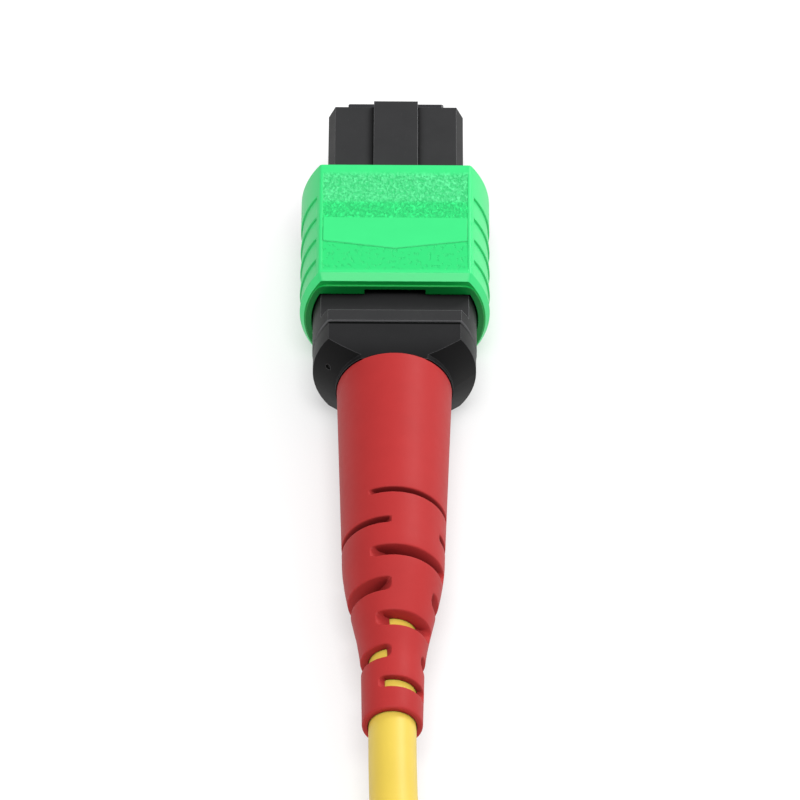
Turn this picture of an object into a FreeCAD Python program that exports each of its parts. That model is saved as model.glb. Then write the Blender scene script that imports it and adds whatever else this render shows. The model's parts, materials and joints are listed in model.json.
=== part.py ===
"""Multi-fibre push-pull connector on a round cable pigtail, female, with angled ferrule.

Frame: +Y towards the mating face, +Z up with the key, X to the side, millimetres.
The origin lies under the middle of the connector, on the surface that it rests on.
The connector's own axis runs along Y at half the height of the outer sleeve.
"""
import FreeCAD
import Part

import math
import os

Vector = FreeCAD.Vector

# ---- driving dimensions: outer sleeve ----
sleeve_width = 12.5          # across the round sides
sleeve_height = 7.6          # across the flat top and bottom
sleeve_length = 10.6
sleeve_travel = 2.1          # how far the sleeve pulls back, until it meets the pads
sleeve_wall_side = 0.78
sleeve_edge = 0.12           # broken edge of the front rim
rim_bevel_length = 0.52      # sloping band round the rear rim
rim_bevel_height = 0.3
rim_ring_proud = 0.12        # inner ring that stands proud of the rear rim
rim_ring_height = 6.3
rim_ring_wall = 0.4          # side wall of that ring
panel_recess = 0.12          # depth of the sunk grip panels, top and bottom
panel_front_band = 0.7       # plain band in front of the panel
panel_rear_band = 0.8        # plain band behind the panel
panel_width = 9.6
plate_set_back = 5.0        # raised plate in the panel, from the sleeve's front
plate_length = 2.15
plate_point = 0.69           # how far the plate's rear edge runs to a shallow point
plate_width = 9.5
grip_count = 4
grip_pitch = 1.93
grip_depth = 0.12
grip_inset = 5.2             # the grips start this far to each side
grip_set_back = 2.8          # first grip step, from the sleeve's front

# ---- driving dimensions: inner housing ----
nose_width = 9.0
nose_height = 4.7
nose_reach = 7.05            # nose face ahead of the sleeve's front edge
nose_corner_in = 0.45
nose_corner_down = 0.98
nose_edge = 0.2
key_width = 2.94
key_height = 0.42
key_length = 8.6
keyway_width = 4.0
key_lead = 2.2               # length of the key's tapered lead-in
key_lead_drop = 0.05
body_side_gap = 0.1          # between the sleeve's hollow and the housing's round sides
body_front_set_back = 0.4    # round body behind the sleeve's front edge
ridge_set_back = 1.5         # snap-over ridges that keep the sleeve on
ridge_length = 1.0
ridge_height = 0.27
housing_length = 20.92
pad_height = 6.3             # raised pads behind the sleeve
pad_edge = 0.1               # broken edge at the joint line
catch_set_back = 3.0         # side recess for the adapter's hooks
catch_length = 2.6
catch_height = 2.6
catch_depth = 0.7
bay_width = 7.4              # spring bay
bay_height = 4.3

# ---- driving dimensions: ferrule group ----
ferrule_width = 6.4
ferrule_height = 2.5
ferrule_length = 8.0
ferrule_proud = 1.57         # ferrule face ahead of the nose face
ferrule_angle = 8.0          # end face tilt in degrees
ferrule_travel = 0.8
shoulder_width = 7.0
shoulder_height = 3.0
shoulder_length = 2.0
guide_pitch = 4.6
guide_bore = 0.7
guide_depth = 7.0
fibre_count = 12
fibre_pitch = 0.25
fibre_diameter = 0.125
ferrule_pocket_width = 3.6   # pocket in the ferrule's back for its rubber boot
ferrule_pocket_height = 1.5
ferrule_pocket_depth = 4.4
glue_window_width = 3.0
glue_window_length = 1.6
glue_window_set_back = 2.6
ferrule_boot_tail = 1.1      # stretch of the rubber boot behind the ferrule
ribbon_width = 3.1
ribbon_thickness = 0.3
bundle_diameter = 1.0
spacer_length = 1.8
spacer_tab = 0.5             # tabs that centre the spring

# ---- driving dimensions: springs ----
main_wire = 0.5
main_spring_width = 6.9
main_spring_height = 3.9
main_spring_turns = 6        # with the closed turn at each end
sleeve_wire = 0.22
sleeve_spring_diameter = 1.3
sleeve_spring_turns = 5      # with the closed turn at each end
sleeve_spring_sink = 0.48    # spring axis inside the sleeve's hollow
sleeve_spring_length = 5.4
lug_length = 0.8             # lugs inside the sleeve that press the small springs

# ---- driving dimensions: spring push and crimp ----
seam = 0.1                   # joint line between inner housing and spring push
flange_diameter = 10.64
flange_height = 6.3
flange_length = 1.49
taper_length = 1.4
collar_diameter = 7.64
collar_length = 0.35
push_reach = 5.2             # spring seat ahead of the flange
arm_thickness = 0.75
arm_height = 2.4
arm_reach = 4.9
hook_length = 1.3
hook_depth = 0.5
channel_width = 4.2          # ribbon channel
channel_height = 1.9
neck_diameter = 3.9
neck_bore = 1.6
neck_length = 5.6
yarn_thickness = 0.16
crimp_across_flats = 4.8     # the sleeve is crimped to a hexagon
skirt_wall = 0.3
crimp_length = 5.9
crimp_skirt_length = 3.0
dimple_diameter = 0.4
dimple_side = 4.3            # ejector mark on the tapered back
dimple_rise = 1.3

# ---- driving dimensions: cable and boot ----
cable_diameter = 3.0
jacket_wall = 0.5
boot_root_diameter = 7.3
boot_shank_diameter = 6.4    # at the end of the thick stretch
boot_shank_length = 14.2
boot_neck_diameter = 3.96    # where the taper meets the slim end
boot_neck_length = 9.7
boot_end_diameter = 3.8
boot_length = 28.6
boot_bore = 3.1
slot_first = 11.6            # first slot row behind the boot's root
slot_pitch = 2.47
slot_widths = (0.4, 0.5, 0.8, 0.95, 1.05, 1.0, 0.85)
slot_half_angle = 58.0       # half of the arc that a slot opens
slot_turn = 30.0             # first row's lean from the vertical
exit_depth = 1.0             # the free cable starts this far inside the boot's mouth

# ---- driving dimensions: free cable ----
hank_fold_radius = 10.5      # of a fold, at the middle of the rows
hank_run = 44.0              # straight run between the folds
hank_rows = 2
hank_layers = 3
tie_thickness = 0.4
tie_gap = 0.02
tie_width = 12.0
tie_offset = 8.0             # of each tie from the middle of its run
lead_steps = ((0, 5.8, 0), (0.4, 11.7, 0.3), (3.95, 20.6, 1.8))  # aside, behind the exit, below it
lead_length = 26.7           # from the exit to the hank's first run

# ---- clearances ----
slide_gap = 0.08             # sleeve or ferrule on its guide, each side
stop_gap = 0.02              # faces that stop a slide
fit_gap = 0.05               # still parts that fit together
loose_gap = 0.15

# ---- places along the axis ----
overall_length = (ferrule_proud + housing_length + seam + flange_length + taper_length
                  + collar_length + boot_length)
nose_face = overall_length / 2 - ferrule_proud
ferrule_face = nose_face + ferrule_proud
ferrule_back = ferrule_face - ferrule_length
ledge = ferrule_back + shoulder_length + stop_gap
sleeve_front = nose_face - nose_reach
sleeve_rear = sleeve_front - sleeve_length
body_front = sleeve_front - body_front_set_back
ridge_front = sleeve_front - ridge_set_back
ridge_rear = ridge_front - ridge_length
shoulder_face = ridge_rear - stop_gap
ring_rear = sleeve_rear - rim_ring_proud
housing_rear = nose_face - housing_length
pad_front = ring_rear - sleeve_travel - stop_gap
spacer_back = ferrule_back - spacer_length
bay_front = ferrule_back - 0.2
flange_front = housing_rear - seam
taper_front = flange_front - flange_length
collar_front = taper_front - taper_length
boot_root = collar_front - collar_length
push_front = flange_front + push_reach
window_rear = flange_front + arm_reach - hook_length - fit_gap
window_front = flange_front + arm_reach + loose_gap
lug_front = shoulder_face
lug_rear = lug_front - lug_length
groove_rear = lug_rear - sleeve_spring_length
neck_end = boot_root - neck_length
crimp_front = boot_root - loose_gap
crimp_step = crimp_front - crimp_length
crimp_end = crimp_step - crimp_skirt_length
jacket_front = crimp_step - fit_gap
boot_end = boot_root - boot_length
exit_y = boot_end + exit_depth

# ---- heights and radii about the axis ----
axis_height = sleeve_height / 2
sleeve_radius = sleeve_width / 2
hollow_radius = sleeve_radius - sleeve_wall_side
body_radius = hollow_radius - body_side_gap
sleeve_spring_x = hollow_radius - sleeve_spring_sink
nose_half = nose_height / 2
opening_half = nose_half + slide_gap
ridge_top = nose_half + ridge_height
key_top = nose_half + key_height
spring_pocket_radius = sleeve_spring_diameter / 2 + fit_gap
arm_outer = bay_width / 2 + arm_thickness
yarn_inner = neck_diameter / 2 + 0.01
yarn_outer = yarn_inner + yarn_thickness
crimp_inner = yarn_outer + 0.02
crimp_corner = crimp_across_flats / 2 / math.cos(math.pi / 6)
skirt_inner = cable_diameter / 2 + 0.02
skirt_outer = skirt_inner + skirt_wall
cable_radius = cable_diameter / 2
jacket_bore = cable_radius - jacket_wall


# ---- small helpers ----
def block(width, height, rear, front, x=0.0, z=0.0):
    """A box centred on (x, z) that runs along the axis from rear to front."""
    corner = Vector(x - width / 2, rear, z - height / 2)
    return Part.makeBox(width, front - rear, height, corner)


def rod(radius, rear, front, x=0.0, z=0.0):
    """A round bar along the axis from rear to front."""
    return Part.makeCylinder(radius, front - rear, Vector(x, rear, z), Vector(0, 1, 0))


def flat_bar(radius, half_height, rear, front):
    """A round bar with a flat top and bottom."""
    return rod(radius, rear, front).common(block(4 * radius, 2 * half_height, rear, front))


def extrude_section(points, rear, front):
    """A section given as (x, z) points, extruded along the axis."""
    wire = Part.makePolygon([Vector(x, rear, z) for x, z in points + points[:1]])
    return Part.Face(wire).extrude(Vector(0, front - rear, 0))


def turned(points):
    """A profile given as (radius, y) points, revolved about the axis."""
    wire = Part.makePolygon([Vector(r, y, 0) for r, y in points + points[:1]])
    return Part.Face(wire).revolve(Vector(0, 0, 0), Vector(0, 1, 0), 360)


def both_sides(shape):
    """The shape and its mirror image across the middle plane."""
    return shape.fuse(shape.mirror(Vector(0, 0, 0), Vector(1, 0, 0)))


def top_and_bottom(shape):
    """The shape and its mirror image below the axis."""
    return shape.fuse(shape.mirror(Vector(0, 0, 0), Vector(0, 0, 1)))


def edges_where(shape, test):
    """The edges whose middle point passes the test."""
    found = []
    for edge in shape.Edges:
        middle = edge.valueAt((edge.FirstParameter + edge.LastParameter) / 2)
        if test(middle):
            found.append(edge)
    return found


# ---- outer sleeve ----
def grip_grooves():
    """Saw-tooth rings that bite into the sleeve's round sides."""
    outside = sleeve_radius + 1
    first = sleeve_front - grip_set_back
    floor = sleeve_radius - grip_depth
    teeth = [(outside, first)]
    for index in range(grip_count):
        front = first - index * grip_pitch
        teeth.append((floor, front))
        teeth.append((sleeve_radius, front - grip_pitch))
    teeth.append((outside, first - grip_count * grip_pitch))
    return turned(teeth).cut(block(2 * grip_inset, 2 * outside, sleeve_rear - 1, sleeve_front + 1))


def grip_panel():
    """The sunk panel of the top face, without its raised plate."""
    floor = sleeve_height / 2 - panel_recess
    front = sleeve_front - panel_front_band
    rear = sleeve_rear + panel_rear_band
    panel = block(panel_width, 2 * panel_recess, rear, front, z=floor + panel_recess)
    plate_front = sleeve_front - plate_set_back
    plate_rear = plate_front - plate_length
    half = plate_width / 2
    outline = [(-half, plate_front), (half, plate_front), (half, plate_rear),
               (0, plate_rear - plate_point), (-half, plate_rear)]
    wire = Part.makePolygon([Vector(x, y, floor) for x, y in outline + outline[:1]])
    plate = Part.Face(wire).extrude(Vector(0, 0, 2 * panel_recess))
    return panel.cut(plate)


def rear_bevel():
    """The space that the sleeve keeps within, drawn in towards its rear rim on all sides."""
    bevel_front = sleeve_rear + rim_bevel_length
    reach = sleeve_radius + 1
    slope = rim_bevel_height / rim_bevel_length
    round_sides = turned([(0, sleeve_rear), (sleeve_radius - rim_bevel_height, sleeve_rear),
                          (sleeve_radius, bevel_front), (reach, bevel_front), (reach, sleeve_front + 1),
                          (0, sleeve_front + 1)])
    low = sleeve_height / 2 - rim_bevel_height
    high = sleeve_height / 2 + slope * (sleeve_length + 1 - rim_bevel_length)
    side = [(sleeve_rear, low), (sleeve_front + 1, high), (sleeve_front + 1, -high), (sleeve_rear, -low)]
    wire = Part.makePolygon([Vector(-reach, y, z) for y, z in side + side[:1]])
    return round_sides.common(Part.Face(wire).extrude(Vector(2 * reach, 0, 0)))


def rear_ring():
    """Inner ring that stands a little proud of the sleeve's rear rim."""
    return flat_bar(hollow_radius + rim_ring_wall, rim_ring_height / 2, ring_rear, sleeve_rear + 0.5)


def outer_sleeve():
    """Push-pull sleeve: flat top and bottom, gripped round sides, open front and back."""
    sleeve = flat_bar(sleeve_radius, sleeve_height / 2, sleeve_rear, sleeve_front)
    front_rim = edges_where(sleeve, lambda p: p.y > sleeve_front - 0.01)
    sleeve = sleeve.makeChamfer(sleeve_edge, front_rim)
    sleeve = sleeve.cut(grip_grooves())
    sleeve = sleeve.common(rear_bevel())
    sleeve = sleeve.cut(top_and_bottom(grip_panel()))
    sleeve = sleeve.fuse(rear_ring())
    sleeve = sleeve.cut(flat_bar(hollow_radius, opening_half, sleeve_rear - 1, sleeve_front + 1))
    sleeve = sleeve.cut(flat_bar(hollow_radius, ridge_top + slide_gap, shoulder_face, sleeve_front + 1))
    keyway_top = key_top + slide_gap
    keyway = block(keyway_width, keyway_top, sleeve_rear - 1, sleeve_front + 1, z=keyway_top / 2)
    sleeve = sleeve.cut(keyway)
    pocket = rod(spring_pocket_radius, groove_rear - loose_gap, lug_rear, x=sleeve_spring_x)
    sleeve = sleeve.cut(both_sides(pocket))
    lug = rod(sleeve_spring_diameter / 2 - fit_gap, lug_rear, lug_front, x=sleeve_spring_x)
    return sleeve.fuse(both_sides(lug)).removeSplitter()


# ---- inner housing ----
def nose():
    """The nose that enters the adapter, with cut corners."""
    half_width = nose_width / 2
    upper = [(half_width, nose_half - nose_corner_down), (half_width - nose_corner_in, nose_half),
             (nose_corner_in - half_width, nose_half), (-half_width, nose_half - nose_corner_down)]
    lower = [(-x, -z) for x, z in upper]
    solid = extrude_section(upper + lower, body_front - 0.5, nose_face)
    front_edges = edges_where(solid, lambda p: p.y > nose_face - 0.01)
    return solid.makeChamfer(nose_edge, front_edges)


def key():
    """The key on top of the nose, with a tapered lead-in at its front."""
    base = nose_half - 0.3
    rear = nose_face - key_length
    lead = nose_face - key_lead
    side = [(rear, base), (nose_face, base), (nose_face, key_top - key_lead_drop), (lead, key_top),
            (rear, key_top)]
    wire = Part.makePolygon([Vector(-key_width / 2, y, z) for y, z in side + side[:1]])
    return Part.Face(wire).extrude(Vector(key_width, 0, 0))


def ridge():
    """Ridge that the sleeve's inner shoulder snaps over and then rests behind."""
    low = nose_half - 0.2
    half_width = math.sqrt(body_radius ** 2 - ridge_top ** 2)
    side = [(ridge_rear, low), (ridge_front, low), (ridge_front, nose_half),
            (ridge_rear + 0.3, ridge_top), (ridge_rear, ridge_top)]
    wire = Part.makePolygon([Vector(-half_width, y, z) for y, z in side + side[:1]])
    return Part.Face(wire).extrude(Vector(2 * half_width, 0, 0))


def side_catches():
    """Recesses in the nose's sides that the adapter's hooks hold."""
    rear = nose_face - catch_set_back - catch_length
    front = nose_face - catch_set_back
    floor = nose_width / 2 - catch_depth
    outside = nose_width / 2 + 1
    plan = [(floor, rear), (outside, rear), (outside, front + 0.6), (floor, front)]
    wire = Part.makePolygon([Vector(x, y, -catch_height / 2) for x, y in plan + plan[:1]])
    return both_sides(Part.Face(wire).extrude(Vector(0, 0, catch_height)))


def inner_housing():
    """Housing that holds the ferrule group, carries the sleeve and takes the spring push."""
    housing = flat_bar(body_radius, nose_half, pad_front, body_front)
    pad = flat_bar(body_radius, pad_height / 2, housing_rear, pad_front)
    pad = pad.makeChamfer(pad_edge, edges_where(pad, lambda p: p.y < housing_rear + 0.01))
    housing = housing.fuse([pad, nose(), key(), top_and_bottom(ridge())])
    window = block(ferrule_width + 2 * slide_gap, ferrule_height + 2 * slide_gap, ledge, nose_face + 1)
    shoulder_bay = block(shoulder_width + 2 * slide_gap, shoulder_height + 2 * slide_gap,
                         bay_front, ledge)
    bay = block(bay_width, bay_height, housing_rear - 1, bay_front)
    arm_channel = block(2 * (arm_outer + fit_gap), arm_height + 2 * fit_gap, housing_rear - 1, window_front)
    latch_window = block(4 * body_radius, arm_height + 2 * fit_gap, window_rear, window_front)
    pocket = rod(spring_pocket_radius, groove_rear, body_front + 1, x=sleeve_spring_x)
    housing = housing.cut([window, shoulder_bay, bay, arm_channel, latch_window])
    housing = housing.cut([both_sides(pocket), side_catches()])
    return housing.removeSplitter()


# ---- ferrule group ----
def fibre_places():
    """X of each fibre, in one row across the ferrule."""
    first = -(fibre_count - 1) * fibre_pitch / 2
    return [first + index * fibre_pitch for index in range(fibre_count)]


def fibre(x, rear, front, margin=0.0):
    """One bare fibre, or with a margin the bore round it, drawn with six sides."""
    radius = fibre_diameter / 2 + margin
    corners = [math.pi * corner / 3 for corner in range(6)]
    outline = [(x + radius * math.cos(angle), radius * math.sin(angle)) for angle in corners]
    return extrude_section(outline, rear, front)


def ahead_of_face():
    """Everything ahead of the tilted end face."""
    reach = ferrule_width
    slab = Part.makeBox(2 * reach, reach, 2 * reach, Vector(-reach, 0, -reach))
    slab.rotate(Vector(0, 0, 0), Vector(1, 0, 0), ferrule_angle)
    drop = math.tan(math.radians(ferrule_angle)) * ferrule_height / 2
    slab.translate(Vector(0, ferrule_face - drop, 0))
    return slab


def ferrule():
    """Rectangular multi-fibre ferrule: shoulder, guide bores, fibre bores, glue window."""
    solid = block(ferrule_width, ferrule_height, ferrule_back, ferrule_face)
    long_edges = edges_where(solid, lambda p: abs(p.x) > ferrule_width / 2 - 0.01 and abs(p.z) > 1)
    solid = solid.makeFillet(0.15, long_edges)
    solid = solid.fuse(block(shoulder_width, shoulder_height, ferrule_back, ferrule_back + shoulder_length))
    cuts = [ahead_of_face()]
    for side in (-1, 1):
        cuts.append(rod(guide_bore / 2, ferrule_face - guide_depth, ferrule_face + 1, x=side * guide_pitch / 2))
    pocket_front = ferrule_back + ferrule_pocket_depth
    for x in fibre_places():
        cuts.append(fibre(x, pocket_front - 0.1, ferrule_face + 1, margin=0.01))
    cuts.append(block(ferrule_pocket_width, ferrule_pocket_height, ferrule_back - 1, pocket_front))
    glue_front = ferrule_face - glue_window_set_back
    cuts.append(block(glue_window_width, ferrule_height, glue_front - glue_window_length, glue_front,
                      z=ferrule_height / 2 + 0.3))
    return solid.cut(cuts)


def ferrule_boot():
    """Rubber sleeve round the ribbon, pushed into the ferrule's back."""
    front = ferrule_back + ferrule_pocket_depth - 1.2
    solid = block(ferrule_pocket_width - 2 * fit_gap, ferrule_pocket_height - 2 * fit_gap,
                  ferrule_back - ferrule_boot_tail, front)
    slot = block(ribbon_width + 2 * fit_gap, ribbon_thickness + 2 * fit_gap,
                 ferrule_back - ferrule_boot_tail - 1, front + 1)
    return solid.cut(slot)


def ribbon_section(width, thickness, y):
    """Eight-sided outline of the fibres at one place along the axis."""
    a = width / 2
    b = thickness / 2
    k = 0.42
    points = [(a, -k * b), (a, k * b), (k * a, b), (-k * a, b), (-a, k * b), (-a, -k * b), (-k * a, -b), (k * a, -b)]
    return Part.makePolygon([Vector(x, y, z) for x, z in points + points[:1]])


def fibre_ribbon():
    """Twelve fibres: bare in the ferrule, a flat ribbon behind it, a round bundle in the neck."""
    pocket_front = ferrule_back + ferrule_pocket_depth
    flat_end = push_front - 0.5
    bundle_start = flange_front + 0.6
    tail = crimp_step - 1.5
    ribbon = block(ribbon_width, ribbon_thickness, flat_end, pocket_front - 0.2)
    flat = ribbon_section(ribbon_width, ribbon_thickness, flat_end)
    bundle = ribbon_section(bundle_diameter, bundle_diameter, bundle_start)
    gather = Part.makeLoft([flat, bundle], True, True)
    rest = Part.Face(bundle).extrude(Vector(0, tail - bundle_start, 0))
    fibres = [fibre(x, pocket_front - 0.3, ferrule_face) for x in fibre_places()]
    return ribbon.fuse([gather, rest] + fibres).cut(ahead_of_face())


def ferrule_spacer():
    """Seat between ferrule and spring; a female connector has no pins in it."""
    opening_half = ribbon_width / 2 + 0.75
    plate = block(shoulder_width, shoulder_height, spacer_back, ferrule_back)
    opening = block(2 * opening_half, channel_height, spacer_back - 1, ferrule_back + 1)
    tab_width = main_spring_width / 2 - main_wire - opening_half - 2 * loose_gap
    tab = block(tab_width, 2.5 * tab_width, spacer_back - spacer_tab, spacer_back,
                x=opening_half + tab_width / 2)
    return plate.cut(opening).fuse(both_sides(tab)).removeSplitter()


# ---- springs ----
def spring_section(centre, along, outward, wire):
    """Five-sided section of the spring wire."""
    across = along.cross(outward).normalize()
    points = []
    for corner in range(5):
        angle = 2 * math.pi * corner / 5
        points.append(centre + (outward * math.cos(angle) + across * math.sin(angle)) * (wire / 2))
    return Part.makePolygon(points + points[:1])


def coil_spring(half_x, half_z, wire, rear, front, turns, x=0.0):
    """A coil about a line along the axis, with closed end turns; half_x and half_z reach the wire's middle."""
    steps = 8
    closed = wire * 1.02
    active = (front - rear - wire - 2 * closed) / (turns - 2)
    sections = []
    y = rear + wire / 2
    for step in range(steps * turns + 1):
        angle = 2 * math.pi * step / steps
        centre = Vector(x + half_x * math.cos(angle), y, half_z * math.sin(angle))
        is_end = step < steps or step >= steps * (turns - 1)
        rise = (closed if is_end else active) / steps
        along = Vector(-half_x * math.sin(angle), rise * steps / (2 * math.pi), half_z * math.cos(angle))
        outward = Vector(half_z * math.cos(angle), 0, half_x * math.sin(angle))
        sections.append(spring_section(centre, along.normalize(), outward.normalize(), wire))
        y += rise
    return Part.makeLoft(sections, True, True)


def main_spring():
    """Oval spring that presses the ferrule forward."""
    return coil_spring((main_spring_width - main_wire) / 2, (main_spring_height - main_wire) / 2, main_wire,
                       push_front + stop_gap, spacer_back - stop_gap, main_spring_turns)


def sleeve_spring(side):
    """One of the two small springs that press the sleeve forward."""
    half = (sleeve_spring_diameter - sleeve_wire) / 2
    return coil_spring(half, half, sleeve_wire, groove_rear + stop_gap, lug_rear - stop_gap,
                       sleeve_spring_turns, x=side * sleeve_spring_x)


# ---- spring push, crimp and yarn ----
def latch_arms():
    """Two arms with hooks that snap into the housing's side windows."""
    front = flange_front + arm_reach
    middle = arm_outer - arm_thickness / 2
    arm = block(arm_thickness, arm_height, flange_front - 0.5, front, x=middle)
    hook_base = arm_outer - 0.1
    tip = arm_outer + hook_depth
    plan = [(hook_base, front), (tip, front - 0.5 * hook_length), (tip, front - hook_length),
            (hook_base, front - hook_length)]
    wire = Part.makePolygon([Vector(x, y, -arm_height / 2) for x, y in plan + plan[:1]])
    hook = Part.Face(wire).extrude(Vector(0, 0, arm_height))
    return both_sides(arm.fuse(hook))


def spring_push():
    """Rear body: spring seat, latch arms, visible flange, tapered back and crimp neck."""
    radius = flange_diameter / 2
    collar = collar_diameter / 2
    body = turned([(0, flange_front), (radius, flange_front), (radius, taper_front), (collar, collar_front),
                   (collar, boot_root), (neck_diameter / 2, boot_root), (neck_diameter / 2, neck_end),
                   (0, neck_end)])
    body = body.common(block(2 * flange_diameter, flange_height, neck_end, flange_front))
    seat = block(bay_width - 2 * fit_gap, bay_height - 2 * fit_gap, flange_front - 0.5, push_front)
    body = body.fuse([seat, latch_arms()])
    channel = block(channel_width, channel_height, taper_front, push_front + 1)
    bore = rod(neck_bore / 2, neck_end - 1, taper_front + 0.5)
    arm_gap = block(fit_gap * 2, arm_height, flange_front, flange_front + arm_reach,
                    x=bay_width / 2 - fit_gap)
    slope = Vector((radius - collar) / taper_length, 1, 0)
    mark_y = taper_front - taper_length * (radius - math.hypot(dimple_side, dimple_rise)) / (radius - collar)
    mark = Vector(-dimple_side, mark_y, dimple_rise) - slope * 0.3
    dimple = Part.makeCylinder(dimple_diameter / 2, 0.5, mark, slope)
    body = body.cut([channel, bore, both_sides(arm_gap), dimple])
    return body.removeSplitter()


def aramid_yarn():
    """Strength yarn: leaves the jacket, flares over the neck and lies under the crimp."""
    inner = bundle_diameter / 2 + 0.1
    outer = jacket_bore - 0.02
    front = crimp_front - 0.3
    tail = jacket_front - 1.2
    return turned([(yarn_inner, front), (yarn_outer, front), (yarn_outer, neck_end - 0.02),
                   (outer, jacket_front), (outer, tail), (inner, tail), (yarn_inner, neck_end - 0.02)])


def crimp_sleeve():
    """Metal sleeve crimped to a hexagon over yarn and neck, with a slim skirt on the jacket."""
    corners = [math.pi * corner / 3 for corner in range(6)]
    hexagon = [(crimp_corner * math.cos(angle), crimp_corner * math.sin(angle)) for angle in corners]
    sleeve = extrude_section(hexagon, crimp_step, crimp_front).fuse(rod(skirt_outer, crimp_end, crimp_step))
    inside = turned([(0, crimp_front + 1), (crimp_inner, crimp_front + 1), (crimp_inner, crimp_step + 0.3),
                     (skirt_inner, crimp_step), (skirt_inner, crimp_end - 1), (0, crimp_end - 1)])
    return sleeve.cut(inside)


# ---- strain-relief boot ----
def boot_radius(behind):
    """Outer radius of the boot at a distance behind its root: gentle cone, soft taper, slim end."""
    root = boot_root_diameter / 2
    shank = boot_shank_diameter / 2
    neck = boot_neck_diameter / 2
    neck_end_at = boot_shank_length + boot_neck_length
    if behind < boot_shank_length:
        return root + (shank - root) * behind / boot_shank_length
    if behind > neck_end_at:
        return neck + (boot_end_diameter / 2 - neck) * (behind - neck_end_at) / (boot_length - neck_end_at)
    share = (behind - boot_shank_length) / boot_neck_length
    eased = share * share * (3 - 2 * share)
    return shank + (neck - shank) * eased


def boot_outline():
    """Half section of the boot, with a station between rows of slots in its taper, and a stepped bore."""
    stations = [0.0]
    for index in range(2, len(slot_widths) - 1):
        stations.append(slot_first + (index - 0.5) * slot_pitch)
    stations.append(boot_length)
    outside = [(boot_radius(behind), boot_root - behind) for behind in stations]
    crimp_room = crimp_corner + fit_gap
    skirt_room = skirt_outer + fit_gap
    inside = [(boot_bore / 2, boot_end), (boot_bore / 2, crimp_end - 0.5), (skirt_room, crimp_end),
              (crimp_room, crimp_step), (crimp_room, boot_root)]
    return outside + inside


def boot_slots():
    """Rows of paired slots that let the boot bend; each row is turned a quarter from the last."""
    slots = []
    for index, width in enumerate(slot_widths):
        behind = slot_first + index * slot_pitch
        middle = boot_root - behind
        floor = boot_radius(behind) * math.cos(math.radians(slot_half_angle))
        reach = boot_root_diameter
        cutter = Part.makeBox(2 * reach, width, reach, Vector(-reach, middle - width / 2, floor))
        for half_turn in (0, 180):
            slot = cutter.copy()
            slot.rotate(Vector(0, 0, 0), Vector(0, 1, 0), slot_turn + 90 * (index % 2) + half_turn)
            slots.append(slot)
    return slots


def strain_boot():
    """Moulded boot over the crimp and the first stretch of cable."""
    return turned(boot_outline()).cut(boot_slots())


def cable_jacket():
    """The stretch of cable that the boot holds straight."""
    return rod(cable_radius, exit_y, jacket_front).cut(rod(jacket_bore, exit_y + 3, jacket_front + 1))


# ---- free cable ----
hank_half_band = cable_diameter * hank_rows / 2
hank_height = cable_diameter * hank_layers
hank_base = tie_thickness - axis_height
hank_side = sleeve_radius - tie_thickness
hank_x = hank_side - hank_fold_radius - hank_half_band
hank_front_y = exit_y - lead_length
hank_middle_y = hank_front_y - hank_run / 2
floor_axis = hank_base + cable_radius


def lead_route():
    """Corner points of the free stretch, from the boot's mouth to the hank."""
    steps = [Vector(aside, exit_y - behind, -below) for aside, behind, below in lead_steps]
    return [Vector(0, exit_y, 0), *steps, Vector(hank_side - cable_radius, hank_front_y, floor_axis)]


def rounded_route(points):
    """Straight runs joined by tangent arcs that are as large as the runs allow."""
    edges = []
    start = points[0]
    for before, corner, after in zip(points, points[1:], points[2:]):
        back = (before - corner).normalize()
        ahead = (after - corner).normalize()
        half_turn = (math.pi - back.getAngle(ahead)) / 2
        cut = 0.45 * min((before - corner).Length, (after - corner).Length)
        radius = cut / math.tan(half_turn)
        middle = corner + (back + ahead).normalize() * (radius / math.cos(half_turn) - radius)
        entry = corner + back * cut
        leave = corner + ahead * cut
        edges.append(Part.LineSegment(start, entry).toShape())
        edges.append(Part.Arc(entry, middle, leave).toShape())
        print("bend radius", round(radius, 1), "mm")
        start = leave
    edges.append(Part.LineSegment(start, points[-1]).toShape())
    return Part.Wire(edges)


def cable_lead():
    """The free cable up to the hank."""
    spine = rounded_route(lead_route())
    section = Part.Wire([Part.Circle(Vector(0, exit_y, 0), Vector(0, 1, 0), cable_radius).toShape()])
    tube = spine.makePipeShell([section], True, False)
    ideal = math.pi * cable_radius ** 2 * spine.Length
    print("lead length", round(spine.Length, 2), "mm; volume over ideal", round(tube.Volume / ideal, 4))
    return tube


def oblong(radius):
    """Block as high as the hank, round at both ends, about a straight run."""
    rear = hank_front_y - hank_run
    block = Part.makeBox(2 * radius, hank_run, hank_height, Vector(hank_x - radius, rear, hank_base))
    for y in (hank_front_y, rear):
        block = block.fuse(Part.makeCylinder(radius, hank_height, Vector(hank_x, y, hank_base)))
    return block.removeSplitter()


def cable_hank():
    """The rest of the cable, folded into a neat hank: one solid of its outer shape."""
    return oblong(hank_fold_radius + hank_half_band).cut(oblong(hank_fold_radius - hank_half_band))


def run_block(side, margin, width):
    """Block round one run of the hank, grown by a margin, where the run's tie lies."""
    half = hank_half_band + margin
    corner = Vector(hank_x + side * hank_fold_radius - half, hank_middle_y + side * tie_offset - width / 2,
                    hank_base - margin)
    return Part.makeBox(2 * half, width, hank_height + 2 * margin, corner)


def hank_tie(side):
    """Flat band closed round one run of the hank."""
    return run_block(side, tie_thickness, tie_width).cut(run_block(side, tie_gap, 2 * tie_width))


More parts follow.
